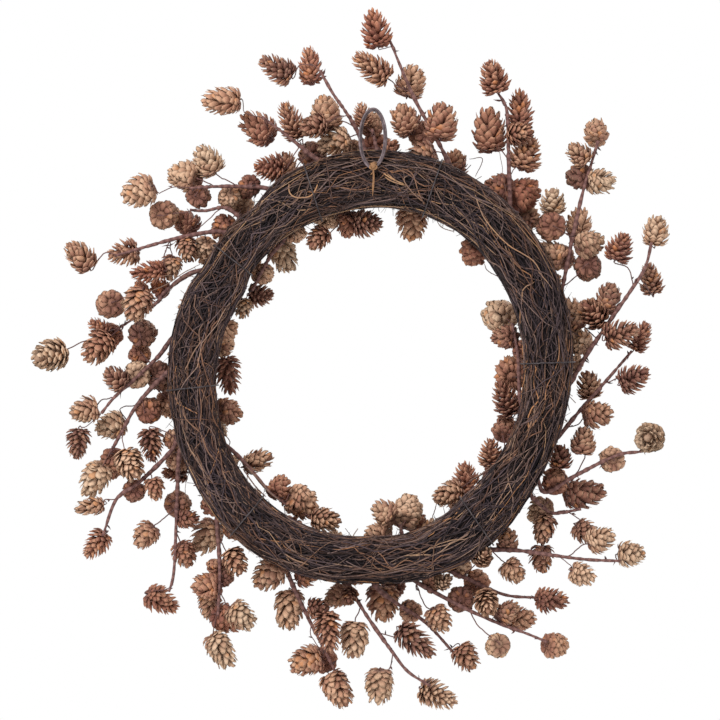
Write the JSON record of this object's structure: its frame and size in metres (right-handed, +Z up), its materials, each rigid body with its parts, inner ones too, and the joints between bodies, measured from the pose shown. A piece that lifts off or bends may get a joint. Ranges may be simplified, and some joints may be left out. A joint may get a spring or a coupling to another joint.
{
  "type": "pine cone wreath",
  "caption": "Round wall wreath of small larch cones wired in sprays to a ring of bound dark twigs, with a wire loop at the top of its back to hang it by.",
  "frame": {"origin": "inside the top of the hanging loop, where the hook carries it, in the plane of the loop", "axes": "+Z up as it hangs, +X to the right as seen from the back, +Y towards the decorated front, so the back in the picture faces -Y"},
  "size_m": [0.5526, 0.1029, 0.6115],
  "materials": {
    "dark_twig": "dry dark brown twigs and vine strands, matt",
    "larch_cone": "dry tan to brown cone scales, matt, on red-brown stems",
    "coated_wire": "grey-brown coated wire, satin",
    "raffia": "orange-brown dry raffia, matt",
    "tie_wire": "dark thin binding wire, satin"
  },
  "bodies": {
    "root": {"twig_ring": "dark_twig", "hanging_loop": "coated_wire", "loop_tie": "raffia", "wire_tie_1": "tie_wire", "wire_tie_2": "tie_wire", "wire_tie_3": "tie_wire", "wire_tie_4": "tie_wire", "wire_tie_5": "tie_wire", "wire_tie_6": "tie_wire", "wire_tie_7": "tie_wire", "spray_01": "larch_cone", "spray_02": "larch_cone", "spray_03": "larch_cone", "spray_04": "larch_cone", "spray_05": "larch_cone", "spray_06": "larch_cone", "spray_07": "larch_cone", "spray_08": "larch_cone", "spray_09": "larch_cone", "spray_10": "larch_cone", "spray_11": "larch_cone", "spray_12": "larch_cone", "spray_13": "larch_cone", "spray_14": "larch_cone", "spray_15": "larch_cone", "spray_16": "larch_cone", "spray_17": "larch_cone", "spray_18": "larch_cone", "spray_19": "larch_cone", "spray_20": "larch_cone", "spray_21": "larch_cone", "spray_22": "larch_cone", "spray_23": "larch_cone", "spray_24": "larch_cone", "spray_25": "larch_cone", "inner_spray_1": "larch_cone", "inner_spray_2": "larch_cone", "inner_spray_3": "larch_cone", "inner_spray_4": "larch_cone", "inner_spray_5": "larch_cone", "inner_spray_6": "larch_cone", "inner_spray_7": "larch_cone", "inner_spray_8": "larch_cone", "inner_spray_9": "larch_cone", "front_bunch_1": "larch_cone", "front_bunch_2": "larch_cone", "front_bunch_3": "larch_cone", "front_bunch_4": "larch_cone", "front_bunch_5": "larch_cone", "front_bunch_6": "larch_cone", "front_bunch_7": "larch_cone", "front_bunch_8": "larch_cone"}
  },
  "joints": []
}
